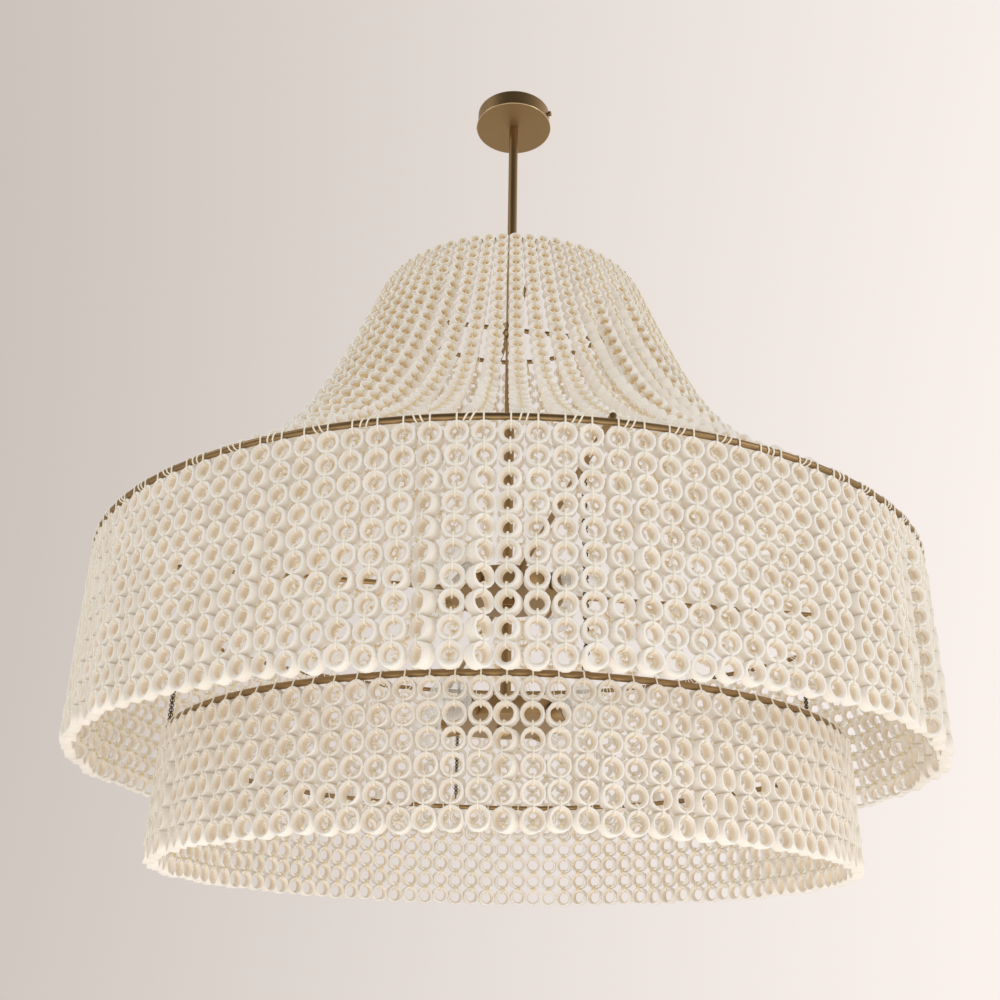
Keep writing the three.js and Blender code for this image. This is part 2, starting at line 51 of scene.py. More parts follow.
camera_place = (-0.00476, -1.70463, -1.50388)
camera_yaw = math.radians(-0.281)
camera_tilt = math.radians(23.281)
camera_roll = math.radians(1.0)
ahead = Vector((
    math.sin(camera_yaw) * math.cos(camera_tilt),
    math.cos(camera_yaw) * math.cos(camera_tilt),
    math.sin(camera_tilt),
))
level_right = Vector((math.cos(camera_yaw), -math.sin(camera_yaw), 0))
level_up = level_right.cross(ahead)
camera_right = level_right * math.cos(camera_roll) + level_up * math.sin(camera_roll)
camera_up = level_up * math.cos(camera_roll) - level_right * math.sin(camera_roll)
camera_data = bpy.data.cameras.new("camera")
camera_data.sensor_width = 36
camera_data.lens = 42.2
camera = bpy.data.objects.new("camera", camera_data)
bpy.context.scene.collection.objects.link(camera)
camera_axes = Matrix((camera_right, camera_up, -ahead)).transposed().to_4x4()
camera.matrix_world = Matrix.Translation(camera_place) @ camera_axes
bpy.context.scene.camera = camera


# Ceiling bracket, nipple and lock nut
# A stamped strap, a threaded tube and a nut of zinc-plated steel, which hold the stem to the ceiling. The
# canopy hides them, and they keep the shapes of the model.

class Flow:
    """What comes out of a material's node. Sums and products of it add the nodes that they need."""

    def __init__(self, tree, socket=None):
        self.tree = tree
        self.socket = socket

    def node(self, kind, settings=None, values=None, output=0):
        made = self.tree.nodes.new(kind)
        for name, value in (settings or {}).items():
            if name == "stops":
                stops = made.color_ramp.elements
                for i, (position, colour) in enumerate(value):
                    stop = stops[i] if i < 2 else stops.new(position)
                    stop.position = position
                    stop.color = colour
            else:
                setattr(made, name, value)
        for name, value in (values or {}).items():
            if isinstance(value, Flow):
                self.tree.links.new(value.socket, made.inputs[name])
            else:
                made.inputs[name].default_value = value
        return Flow(self.tree, made.outputs[output] if made.outputs else None)

    def maths(self, operation, *values):
        return self.node("ShaderNodeMath", {"operation": operation}, dict(enumerate(values)))

    def __add__(self, other):
        return self.maths("ADD", self, other)

    __radd__ = __add__

    def __mul__(self, other):
        return self.maths("MULTIPLY", self, other)

    __rmul__ = __mul__

    def __sub__(self, other):
        return self.maths("SUBTRACT", self, other)

    def __rsub__(self, other):
        return self.maths("SUBTRACT", other, self)

    def noise(self, scale, detail=2.0, roughness=0.5):
        place = self.node("ShaderNodeTexCoord", output="Object")
        values = {"Vector": place, "Scale": scale, "Detail": detail, "Roughness": roughness}
        return self.node("ShaderNodeTexNoise", values=values)

    def mixed(self, first, second, amount, blend="MIX"):
        """A mix of two colours; 0, 6 and 7 are the node's sockets for the amount and the colours."""
        settings = {"data_type": "RGBA", "blend_type": blend}
        return self.node("ShaderNodeMix", settings, {0: amount, 6: first, 7: second}, output=2)

    def between(self, low, high, amount):
        return self.mixed((*low, 1), (*high, 1), amount)

    def bump(self, height, strength, distance):
        values = {"Height": height, "Strength": strength, "Distance": distance}
        return self.node("ShaderNodeBump", values=values)


def new_finish(name):
    """An empty material, and the flow to add its nodes with."""
    material = bpy.data.materials.new(name)
    material.use_nodes = True
    material.node_tree.nodes.clear()
    return material, Flow(material.node_tree)


def surface(flow, values):
    shader = flow.node("ShaderNodeBsdfPrincipled", values=values)
    flow.node("ShaderNodeOutputMaterial", values={"Surface": shader})


zinc, flow = new_finish("zinc_plate")
spangle = flow.noise(260.0, 4.0)
surface(flow, {
    "Base Color": flow.between((0.40, 0.41, 0.42), (0.58, 0.58, 0.57), spangle),
    "Metallic": 1.0,
    "Roughness": 0.32 + 0.2 * spangle,
    "Normal": flow.bump(flow.noise(900.0), 0.15, 0.0002),
})
for node in ("ceiling_bracket", "nipple", "lock_nut"):
    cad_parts[node].data.materials.clear()
    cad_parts[node].data.materials.append(zinc)


# Canopy
# A shallow cup spun from brass sheet, antiqued and lacquered satin, with a painted highlight on its lower
# rim. It closes against the ceiling, and a small turned screw in each side holds it to the bracket.

antique_brass, flow = new_finish("antique_brass")
patina = flow.noise(14.0, 5.0, 0.6)
speckle = flow.noise(700.0, 3.0)
patches = flow.between((0.318, 0.209, 0.097), (0.455, 0.308, 0.156), patina)
specks = flow.between((0.305, 0.20, 0.092), (0.505, 0.347, 0.180), speckle)
surface(flow, {
    "Base Color": flow.mixed(patches, specks, 0.35),
    "Metallic": 1.0,
    "Roughness": 0.36 + 0.12 * patina + 0.06 * speckle,
    "Normal": flow.bump(speckle, 0.12, 0.0001),
})

# Painted highlight: a brighter, glossier brass for a thin band over the canopy's lower lip, where a lamp's
# highlight would shine.
painted_highlight_brass, flow = new_finish("painted_highlight_brass")
highlight_streak = flow.noise(40.0, 3.0)
surface(flow, {
    "Base Color": flow.between((0.72, 0.55, 0.33), (0.88, 0.71, 0.46), highlight_streak),
    "Metallic": 1.0,
    "Roughness": 0.26 + 0.10 * highlight_streak,
})


def arc(across, up, radius, start, end, steps):
    """Points on an arc round a centre, from one angle to another: 0 degrees points outwards and 90 up."""
    points = []
    for step in range(steps + 1):
        angle = math.radians(start + (end - start) * step / steps)
        points.append((across + radius * math.cos(angle), up + radius * math.sin(angle)))
    return points


def turned(outline, steps, closed=True):
    """A form turned on a lathe about Z, from an outline of radii and heights."""
    form = bmesh.new()
    points = [form.verts.new((radius, 0, height)) for radius, height in outline]
    edges = [form.edges.new(pair) for pair in zip(points, points[1:])]
    if closed:
        edges.append(form.edges.new((points[-1], points[0])))
    bmesh.ops.spin(form, geom=points + edges, axis=(0, 0, 1), cent=(0, 0, 0), angle=math.tau, steps=steps,
                   use_merge=True)
    bmesh.ops.remove_doubles(form, verts=form.verts, dist=1e-6)
    bmesh.ops.recalc_face_normals(form, faces=form.faces)
    return form


def to_piece(name, form, finish, body, nodes=(), crease=35):
    """A bmesh or a mesh becomes a finished piece that rides on its body."""
    if isinstance(form, bmesh.types.BMesh):
        mesh = bpy.data.meshes.new(name)
        form.to_mesh(mesh)
        form.free()
    else:
        mesh = form
        mesh.name = name
    mesh.materials.clear()
    mesh.materials.append(finish)
    mesh.shade_smooth()
    mesh.set_sharp_from_angle(angle=math.radians(crease))
    piece = bpy.data.objects.new(name, mesh)
    bpy.context.scene.collection.objects.link(piece)
    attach(piece, body)
    if nodes:
        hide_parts(*nodes)
    return piece


canopy_radius = 0.066
canopy_side = 0.0651
canopy_lip = 0.0675
canopy_top = -0.0003
canopy_bottom = -0.030
canopy_wall = 0.0015
canopy_hole = 0.0084
lip_round = 0.0016
lip_edge = 0.0026
lip_height = 0.0032
inner_corner = 0.004
canopy_outline = [
    (canopy_hole, canopy_bottom),
    *arc(canopy_lip - lip_round, canopy_bottom + lip_round, lip_round, -90, 0, 4),
    (canopy_lip, canopy_bottom + lip_edge),
    (canopy_side, canopy_bottom + lip_height),
    (canopy_side, canopy_top),
    (canopy_side - canopy_wall, canopy_top),
    (canopy_side - canopy_wall, canopy_bottom + inner_corner),
    (canopy_radius - inner_corner, canopy_bottom + canopy_wall),
    (canopy_hole, canopy_bottom + canopy_wall),
]
to_piece("canopy_cup", turned(canopy_outline, 128), antique_brass, "canopy", ["canopy"])

# The painted highlight band: a thin shell just outside the lip's rounding, in the brighter brass.
rim_round = 0.0018
rim_inset = 0.0012
rim_outline = [
    *arc(canopy_lip - lip_round, canopy_bottom + lip_round, rim_round, -60, -10, 6),
    (canopy_lip - rim_inset, canopy_bottom + rim_inset),
]
to_piece("canopy_rim_highlight", turned(rim_outline, 128), painted_highlight_brass, "canopy")

screw_z = -0.012
shank_radius = 0.0019
shank_end = -0.0057
head_radius = 0.0045
head_back_radius = 0.0040
head_front_radius = 0.0038
head_back = 0.0003
head_front = 0.0052
edge_back = 0.0008
edge_front = 0.0044
recess_radius = 0.0012
recess_floor = 0.0046
screw_outline = [
    (0, shank_end), (shank_radius, shank_end), (shank_radius, head_back), (head_back_radius, head_back),
    (head_radius, edge_back), (head_radius, edge_front), (head_front_radius, head_front),
    (recess_radius, head_front), (recess_radius, recess_floor), (0, recess_floor),
]
canopy_turn = Matrix.Rotation(math.radians(-18), 4, "Z")
for side, number in ((1, 1), (-1, 2)):
    screw = turned(screw_outline, 24, closed=False)
    bmesh.ops.transform(screw, matrix=canopy_turn @ Matrix.Translation((side * canopy_radius, 0, screw_z))
                        @ Matrix.Rotation(side * math.pi / 2, 4, "Y"), verts=screw.verts)
    to_piece(f"canopy_screw_head_{number}", screw, antique_brass, f"canopy_screw_{number}",
             [f"canopy_screw_{number}"])


# Stem
# One straight tube of the same brass, 16 mm across. It is screwed to the nipple at the ceiling, runs
# through the spider and the upper lamp hub, and ends under the lower one.

stem_radius = 0.008
stem_bore = 0.0053
stem_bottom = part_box("stem")[0][2]
stem_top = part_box("stem")[1][2]
to_piece("stem_tube", turned([
    (stem_bore, stem_bottom), (stem_radius, stem_bottom), (stem_radius, stem_top), (stem_bore, stem_top),
], 48), antique_brass, "frame", ["stem"])


# Top hoop and its spider
# Both are of 8 mm brass rod. The spider's hub slides on the stem, and its four arms run level and turn up
# at their ends to meet the hoop.

rod_radius = 0.004
top_hoop_radius = 0.190
top_hoop_z = -0.411
spider_z = -0.457
spider_bend = 0.014
spider_hub_radius = 0.016
spider_hub_half_height = 0.007
arm_start = 0.0125
stem_fit = 0.0083
band_bevel = 0.0008
first_spoke = math.radians(10.5)


def hoop_form(radius, height, steps):
    return turned(arc(radius, height, rod_radius, 0, 360, 16)[:-1], steps)


def band(radius, low, high):
    """The section of a ring that fits on the stem, its two outer corners bevelled."""
    return [
        (stem_fit, low), (radius - band_bevel, low), (radius, low + band_bevel),
        (radius, high - band_bevel), (radius - band_bevel, high), (stem_fit, high),
    ]


def to_spoke(number):
    """The turn from the front to a spoke; the arms, eyes and chains are in line with the spokes."""
    return Matrix.Rotation(first_spoke + (number - 1) * math.tau / 4, 4, "Z")


def moved(place, path):
    return [place @ point for point in path]


def tubes(name, paths, radius, resolution, closed=False):
    """A mesh of round tubes, one along each path of points."""
    route = bpy.data.curves.new(name, "CURVE")
    route.dimensions = "3D"
    route.bevel_depth = radius
    route.bevel_resolution = resolution
    route.use_fill_caps = not closed
    for path in paths:
        spline = route.splines.new("POLY")
        spline.points.add(len(path) - 1)
        spline.points.foreach_set("co", [value for point in path for value in (*point, 1.0)])
        spline.use_cyclic_u = closed
    holder = bpy.data.objects.new(name, route)
    mesh = bpy.data.meshes.new_from_object(holder)
    bpy.data.objects.remove(holder)
    bpy.data.curves.remove(route)
    return mesh


def take_in(form, *meshes):
    """Adds meshes to a form, and clears them away."""
    for mesh in meshes:
        form.from_mesh(mesh)
        bpy.data.meshes.remove(mesh)
    return form


to_piece("top_hoop_rod", hoop_form(top_hoop_radius, top_hoop_z, 128), antique_brass, "frame",
         ["top_hoop"])

arm_path = [Vector((0, -arm_start, spider_z))]
for reach, height in arc(top_hoop_radius - spider_bend, spider_z + spider_bend, spider_bend, -90, 0, 8):
    arm_path.append(Vector((0, -reach, height)))
arm_path.append(Vector((0, -top_hoop_radius, top_hoop_z - rod_radius)))
arm_paths = [moved(to_spoke(number), arm_path) for number in range(1, 5)]
spider_hub = turned(band(
    spider_hub_radius, spider_z - spider_hub_half_height, spider_z + spider_hub_half_height), 48)
to_piece("spider", take_in(spider_hub, tubes("arms", arm_paths, rod_radius, 4)), antique_brass, "frame",
         ["top_spider"])


# Collars and finial
# Turned brass rings with a set screw clamp the spider and the upper hub to the stem. A domed cap nut on the
# stem's end carries the lower hub.

collar_radius = 0.013
set_screw_radius = 0.0018
set_screw_length = 0.0016
set_screw_turn = 0.9
for node in ("spider_collar", "hub_collar"):
    low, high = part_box(node)[0][2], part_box(node)[1][2]
    ring = turned(band(collar_radius, low, high), 48)
    screw = bmesh.ops.create_cone(
        ring, cap_ends=True, segments=12, radius1=set_screw_radius, radius2=set_screw_radius,
        depth=set_screw_length, matrix=Matrix.Translation((0, -collar_radius, (low + high) / 2))
        @ Matrix.Rotation(math.pi / 2, 4, "X"))
    bmesh.ops.rotate(ring, verts=screw["verts"], cent=(0, 0, 0),
                     matrix=Matrix.Rotation(set_screw_turn, 3, "Z"))
    to_piece(node + "_ring", ring, antique_brass, "frame", [node])

finial_radius = 0.012
finial_top_radius = 0.0113
finial_floor = 0.006
finial_edge = 0.0008
finial_dome = [(0, 0), (0.0035, 0.0004), (0.0065, 0.0019), (0.0094, 0.0044), (0.0113, 0.0078),
               (finial_radius, 0.0110)]
low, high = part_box("finial")[0][2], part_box("finial")[1][2]
to_piece("finial_cap", turned([
    *((radius, low + rise) for radius, rise in finial_dome),
    (finial_radius, high - finial_edge), (finial_top_radius, high), (stem_fit, high),
    (stem_fit, low + finial_floor), (0, low + finial_floor),
], 48, closed=False), antique_brass, "frame", ["finial"])


# Lamp hubs
# Two closed drums of brass sheet, 172 mm across. The cables meet inside them, and the sockets stand on
# their rims. The upper one also takes the spokes.

hub_radius = 0.086
hub_half_height = 0.014
hub_corner = 0.002
hub_corner_middle = 0.0006
hub_wall = 0.0015
hub_face_radius = hub_radius - hub_corner
spoke_z = -0.9237
lower_hub_z = -1.118
for level, height in (("upper", spoke_z), ("lower", lower_hub_z)):
    low, high = height - hub_half_height, height + hub_half_height
    drum = turned([
        (stem_fit, low), (hub_face_radius, low),
        (hub_radius - hub_corner_middle, low + hub_corner_middle), (hub_radius, low + hub_corner),
        (hub_radius, high - hub_corner), (hub_radius - hub_corner_middle, high - hub_corner_middle),
        (hub_face_radius, high), (stem_fit, high), (stem_fit, high - hub_wall),
        (hub_face_radius, high - hub_wall), (hub_face_radius, low + hub_wall), (stem_fit, low + hub_wall),
    ], 128)
    to_piece(f"{level}_drum", drum, antique_brass, "frame", [f"{level}_hub"])


# Sockets
# Spun brass cups on the rims of the drums, four on each, half way between the spokes. The bulb's cap screws
# into them, and a narrower foot goes through the drum's wall.

socket_back = 0.0863
socket_mouth = 0.105
socket_radius = 0.017
socket_bore = 0.0134
socket_floor = 0.0025
foot_radius = 0.009
foot_depth = 0.008
shoulder = [(0.0145, 0), (0.0163, 0.0012), (socket_radius, 0.0035)]
mouth_width = 0.0016
mouth_bevel = 0.0004
socket_outline = [
    (0, socket_back - foot_depth), (foot_radius, socket_back - foot_depth), (foot_radius, socket_back),
    *((radius, socket_back + rise) for radius, rise in shoulder),
    (socket_radius, socket_mouth - mouth_width),
    (socket_radius + mouth_bevel, socket_mouth - mouth_width + mouth_bevel),
    (socket_radius + mouth_bevel, socket_mouth - mouth_bevel), (socket_radius, socket_mouth),
    (socket_bore, socket_mouth), (socket_bore, socket_back + socket_floor), (0, socket_back + socket_floor),
]


def lamp_place(height, number):
    """From a lamp's own axis, Z, to its place on the rim of a hub."""
    return (Matrix.Translation((0, 0, height)) @ to_spoke(number + 0.5)
            @ Matrix.Rotation(math.pi / 2, 4, "X"))


for level, height in (("upper", spoke_z), ("lower", lower_hub_z)):
    for number in range(1, 5):
        cup = turned(socket_outline, 40, closed=False)
        bmesh.ops.transform(cup, matrix=lamp_place(height, number), verts=cup.verts)
        to_piece(f"{level}_cup_{number}", cup, antique_brass, "frame",
                 [f"{level}_socket_{number}"])


# Bulbs
# Clear globes of blown glass, 60 mm across, with a screw cap that sits in the socket. Two posts inside
# hold a fine wavy filament.

clear_glass, flow = new_finish("clear_glass")
rim = flow.node("ShaderNodeLayerWeight", values={"Blend": 0.35}, output="Facing")
waver = flow.noise(18.0)
surface(flow, {
    "Base Color": flow.between((0.78, 0.80, 0.80), (0.88, 0.88, 0.87), waver),
    "Metallic": 0.0,
    "Roughness": 0.03 + 0.03 * waver,
    "IOR": 1.5,
    "Alpha": 0.16 + 0.62 * rim,
})

bulb_metal, flow = new_finish("bulb_metal")
worn = flow.noise(320.0, 3.0)
surface(flow, {
    "Base Color": flow.between((0.52, 0.50, 0.46), (0.70, 0.68, 0.63), worn),
    "Metallic": 1.0,
    "Roughness": 0.25 + 0.2 * worn,
})

bulb_tip = 0.165
bulb_radius = 0.030
bulb_neck_radius = 0.0138
bulb_neck = socket_mouth + 0.0003
bulb_outline = [
    (bulb_neck_radius, bulb_neck),
    *arc(0, bulb_tip - bulb_radius, bulb_radius, -62, 90, 18),
]
threads = 5
thread_pitch = 0.0028
thread_root = 0.0122
thread_crest = 0.0130
cap_end = 0.0012
cap_top = socket_mouth + 0.0004
thread_start = socket_mouth - threads * thread_pitch
cap_outline = [(0, thread_start - cap_end)]
for thread in range(threads):
    at = thread_start + thread_pitch * thread
    cap_outline += [(thread_root, at), (thread_crest, at + thread_pitch / 2)]
cap_outline += [(thread_root, socket_mouth), (bulb_neck_radius, bulb_neck), (0, cap_top)]

filament_radius = 0.012
filament_height = 0.138
filament_wave = 0.004
filament_wire = 0.0006
wire_paths = []
for side in (-1, 1):
    post = [(0.004, socket_mouth), (0.006, 0.128), (filament_radius, filament_height)]
    wire_paths.append([Vector((side * radius, 0, height)) for radius, height in post])
filament = []
for step in range(10):
    filament.append(Vector((filament_radius * math.cos(0.7 * step), filament_wave * math.sin(2.1 * step),
                            filament_height + filament_wave * math.sin(step))))
wire_paths.append(filament)

for level, height in (("upper", spoke_z), ("lower", lower_hub_z)):
    for number in range(1, 5):
        placed = lamp_place(height, number)
        body = f"{level}_bulb_{number}"
        globe = turned(bulb_outline, 40, closed=False)
        bmesh.ops.transform(globe, matrix=placed, verts=globe.verts)
        to_piece(f"{level}_globe_{number}", globe, clear_glass, body, [body], crease=60)
        cap = turned(cap_outline, 32, closed=False)
        bmesh.ops.transform(cap, matrix=placed, verts=cap.verts)
        take_in(cap, tubes("wires", [moved(placed, path) for path in wire_paths], filament_wire, 1))
        to_piece(f"{level}_cap_{number}", cap, bulb_metal, body)


# Wide hoop and spokes
# The hoop is rolled from the same 8 mm rod as the top one. Four spokes of that rod lie on it and butt to
# the upper hub, and the chains hang from them.

big_hoop_radius = 0.600
big_hoop_z = -0.932
spoke_bevel = 0.0006
sharp_edge = 1.2
to_piece("big_hoop_rod", hoop_form(big_hoop_radius, big_hoop_z, 288), antique_brass, "frame",
         ["big_hoop"])
for number in range(1, 5):
    rod = bmesh.new()
    bmesh.ops.create_cone(
        rod, cap_ends=True, segments=24, radius1=rod_radius, radius2=rod_radius,
        depth=big_hoop_radius - hub_radius, matrix=to_spoke(number)
        @ Matrix.Translation((0, -(big_hoop_radius + hub_radius) / 2, spoke_z))
        @ Matrix.Rotation(math.pi / 2, 4, "X"))
    ends = [edge for edge in rod.edges if edge.calc_face_angle(0) > sharp_edge]
    bmesh.ops.bevel(rod, geom=ends, offset=spoke_bevel, offset_type="OFFSET", segments=2, profile=0.5,
                    affect="EDGES", material=-1)
    to_piece(f"spoke_rod_{number}", rod, antique_brass, "frame", [f"spoke_{number}"])


# Lower hoop
# A smaller hoop of the same rod, which carries the lower skirt. An eye stands on it under each spoke, for
# the chains' last links.

lower_hoop_radius = 0.474
lower_hoop_z = -1.176
eye_radius = 0.0050
eye_wire = 0.001
eye_z = lower_hoop_z + 0.009
eye_path = [Vector((side, -lower_hoop_radius, height))
            for side, height in arc(0, eye_z, eye_radius, 0, 360, 16)[:-1]]
eye_paths = [moved(to_spoke(number), eye_path) for number in range(1, 5)]
eyes = tubes("eyes", eye_paths, eye_wire, 2, closed=True)
to_piece("lower_hoop_rod", take_in(hoop_form(lower_hoop_radius, lower_hoop_z, 240), eyes), antique_brass,
         "lower_tier", ["lower_hoop"])


# Chains
# Fine oval links of 1.6 mm brass wire, darkened. The first link is wide enough to go round a spoke, and
# the last goes through the lower hoop's eye.

chain_brass, flow = new_finish("chain_brass")
tarnish = flow.noise(120.0, 4.0)
surface(flow, {
    "Base Color": flow.between((0.060, 0.042, 0.024), (0.150, 0.102, 0.055), tarnish),
    "Metallic": 1.0,
    "Roughness": 0.34 + 0.16 * tarnish,
})

chain_wire = 0.0008
spoke_loop_half_width = 0.0058
spoke_loop_height = 0.0104
link_half_width = 0.0027
link_count = 67
last_link_hook = 0.0021
last_link_height = 0.009
oval_steps = 14
loop_top = spoke_z + rod_radius + 0.0004
loop_bottom = loop_top - spoke_loop_height
last_low = eye_z + eye_radius - last_link_hook
last_high = last_low + last_link_height
links_start = loop_bottom - chain_wire
links_end = last_high - chain_wire
link_pitch = (links_start - links_end) / link_count


def oval(half_width, low, high, crosswise):
    """A closed path round an upright oval, seen along the spoke or across it."""
    path = []
    for step in range(oval_steps):
        angle = math.tau * (step + 0.5) / oval_steps
        reach = half_width * math.cos(angle)
        middle = high - half_width if math.sin(angle) > 0 else low + half_width
        height = middle + half_width * math.sin(angle)
        side, along = (0, reach) if crosswise else (reach, 0)
        path.append(Vector((side, -lower_hoop_radius + along, height)))
    return path


chain_paths = [oval(spoke_loop_half_width, loop_bottom - chain_wire, loop_top + chain_wire, False)]
for link in range(link_count):
    high = links_start - link * link_pitch + 1.5 * chain_wire
    low = links_start - (link + 1) * link_pitch - 1.5 * chain_wire
    chain_paths.append(oval(link_half_width, low, high, link % 2 == 0))
chain_paths.append(oval(link_half_width, last_low, last_high, True))
for number in range(1, 5):
    placed = [moved(to_spoke(number), path) for path in chain_paths]
    to_piece(f"chain_links_{number}", tubes("chain", placed, chain_wire, 1, closed=True), chain_brass,
             f"chain_{number}", [f"chain_{number}"], crease=80)


# Outer skirt
# Strands of ten turned wooden rings, 27 mm across, washed ivory. A turn of waxed cotton cord ties each
# ring to the next, with a knot behind, and a longer one hangs the first ring on the wide hoop. Short ties
# hold the first rings to each other; below them each strand turns as it likes.

ivory_ring, flow = new_finish("ivory_ring")
tone = flow.node("ShaderNodeAttribute", {"attribute_name": "tone"}, output="Fac")
# Per face, how far the colour goes towards tan: bare wood and painted shade in the hole, painted shade on
# the mouth and the barrel.
wood_and_shade_tan = flow.node("ShaderNodeAttribute", {"attribute_name": "wood_and_shade_tan"}, output="Fac")
wash = flow.noise(170.0, 4.0, 0.6)
grain = flow.noise(1100.0, 3.0, 0.6)
shade = 0.55 * tone + 0.30 * wash + 0.15 * grain
outside = flow.between((0.815, 0.785, 0.740), (0.885, 0.868, 0.840), shade)
# The tan: the bare wood inside the hole, made darker and warmer as painted shade.
inside = flow.between((0.640, 0.470, 0.265), (0.760, 0.600, 0.385), shade)
# Painted light: the rings glow faintly in their own colour, warmer on the tan faces, in place of light
# passing through and between the thin rings.
outside_glow = flow.between((0.42, 0.40, 0.37), (0.50, 0.48, 0.45), shade)
inside_glow = flow.between((0.56, 0.38, 0.17), (0.68, 0.50, 0.27), shade)
surface(flow, {
    "Base Color": flow.mixed(outside, inside, wood_and_shade_tan),
    "Roughness": 0.62 + 0.14 * wash,
    "Specular IOR Level": 0.35,
    "Emission Color": flow.mixed(outside_glow, inside_glow, wood_and_shade_tan),
    "Emission Strength": 0.18,
    "Normal": flow.bump(grain + wash, 0.25, 0.0002),
})

# Painted light: the cord glows faintly, so that it reads brighter than the rings.
waxed_cord, flow = new_finish("waxed_cord")
lay = flow.noise(900.0, 2.0)
surface(flow, {
    "Base Color": flow.between((0.80, 0.74, 0.63), (0.90, 0.86, 0.77), lay),
    "Roughness": 0.75 + 0.1 * lay,
    "Emission Color": flow.between((0.50, 0.45, 0.36), (0.58, 0.54, 0.46), lay),
    "Emission Strength": 0.2,
    "Normal": flow.bump(lay, 0.4, 0.0002),
})

# Painted shade: a darker, golden copy of the same cream cord, for the knots behind the rings and the
# drape's turns, where the cord lies in shade; it also glows faintly as painted light.
shaded_golden_cord, flow = new_finish("shaded_golden_cord")
strand_tone = flow.noise(60.0, 2.0)
surface(flow, {
    "Base Color": flow.between((0.66, 0.54, 0.33), (0.82, 0.72, 0.50), strand_tone),
    "Roughness": 0.8 + 0.1 * strand_tone,
    "Emission Color": flow.between((0.50, 0.40, 0.22), (0.62, 0.52, 0.34), strand_tone),
    "Emission Strength": 0.15,
})

ring_width = 0.0268
ring_length = 0.0145
# How far faces go towards the tan: the hole's amount is bare wood and painted shade; the mouth's and the
# barrel's are painted shade.
hole_wood_and_shade = 0.55
mouth_painted_shade = 0.28
side_painted_shade = 0.16
cord_radius = 0.0010
cord_bend = 0.001
loop_rise = 0.002
tie_radius = 0.0005
knot_size = (0.0041, 0.0018, 0.0033)
hem_play = 0.0015
hoop_reach = rod_radius + cord_radius


def ring_bead(width, bore_width, length, steps, tan):
    """A turned ring whose hole runs along Y: its mesh, and each face's tan: wood and painted shade in the
    hole, painted shade on mouth and barrel.
    """
    outer, inner, half = width / 2, bore_width / 2, length / 2
    wall = outer - inner
    side = [
        (outer, half * 0.95), (outer - wall * 0.07, half),
        (inner + wall * 0.52, half), (inner, half * 0.45),
    ]
    outline = side + [(radius, -along) for radius, along in reversed(side)]
    form = bmesh.new()
    points = [form.verts.new((radius, along, 0)) for radius, along in outline]
    edges = [form.edges.new(pair) for pair in zip(points, points[1:] + points[:1])]
    bmesh.ops.spin(form, geom=points + edges, axis=(0, 1, 0), cent=(0, 0, 0), angle=math.tau, steps=steps,
                   use_merge=True)
    bmesh.ops.remove_doubles(form, verts=form.verts, dist=1e-6)
    bmesh.ops.recalc_face_normals(form, faces=form.faces)
    mesh = bpy.data.meshes.new("ring")
    form.to_mesh(mesh)
    form.free()
    tans = []
    for face in mesh.polygons:
        in_hole = math.hypot(face.center.x, face.center.z) < inner + wall * 0.12
        in_mouth = half * 0.6 < abs(face.center.y) < half * 0.9
        on_side = abs(face.center.y) < half * 0.1
        tans.append(tan if in_hole else mouth_painted_shade if in_mouth else side_painted_shade if on_side else 0.0)
    return mesh, tans


def add_copy(form, mesh, place):
    """Adds a copy of a mesh to a form, at its place."""
    copy = mesh.copy()
    copy.transform(place)
    take_in(form, copy)


def string_beads(name, placed, body, nodes, seed):
    """Copies of ring meshes, each at its place, as one piece; each ring has a tone of its own."""
    form = bmesh.new()
    tones = []
    wood_and_shade_tans = []
    chance = random.Random(seed)
    for (mesh, tans), place in placed:
        add_copy(form, mesh, place)
        tones += [chance.random()] * len(tans)
        wood_and_shade_tans += tans
    piece = to_piece(name, form, ivory_ring, body, nodes, crease=80)
    for layer, values in (("tone", tones), ("wood_and_shade_tan", wood_and_shade_tans)):
        stored = piece.data.attributes.new(layer, "FLOAT", "FACE")
        stored.data.foreach_set("value", np.array(values, np.float32))


def lashing(half_length, low, high):
    """A closed turn of cord, in the plane of a ring's axis, round the walls between two heights."""
    out = half_length + cord_radius
    inward = half_length - cord_bend
    return [Vector((0, across, height)) for across, height in (
        (-out, low + cord_bend), (-out, high - cord_bend), (-inward, high), (inward, high),
        (out, high - cord_bend), (out, low + cord_bend), (inward, low), (-inward, low),
    )]


def add_knots(name, places, body):
    """A small flat knot at each place, where a turn of cord is tied behind the rings."""
    bud = bmesh.new()
    bmesh.ops.create_icosphere(bud, subdivisions=1, radius=1, matrix=Matrix.Diagonal((*knot_size, 1)))
    knot = bpy.data.meshes.new("knot")
    bud.to_mesh(knot)
    bud.free()
    form = bmesh.new()
    for place in places:
        add_copy(form, knot, place)
    bpy.data.meshes.remove(knot)
    to_piece(name, form, shaded_golden_cord, body, crease=80)


def corners(width, length, turned_by, aside, outward):
    """The plan of a ring that stands upright: its four corners."""
    found = []
    for across, along in ((-1, -1), (1, -1), (1, 1), (-1, 1)):
        x, y = across * width / 2, along * length / 2
        found.append((aside + x * math.cos(turned_by) - y * math.sin(turned_by),
                      outward + x * math.sin(turned_by) + y * math.cos(turned_by)))
    return found


def overlap(first, second):
    """How far two such plans run into each other; 0 or less if they are clear."""
    depth = math.inf
    for plan in (first, second):
        for (x0, y0), (x1, y1) in zip(plan[:2], plan[1:3]):
            length = math.hypot(x1 - x0, y1 - y0)
            ax, ay = (x1 - x0) / length, (y1 - y0) / length
            a = [x * ax + y * ay for x, y in first]
            b = [x * ax + y * ay for x, y in second]
            depth = min(depth, min(max(a), max(b)) - max(min(a), min(b)))
    return depth


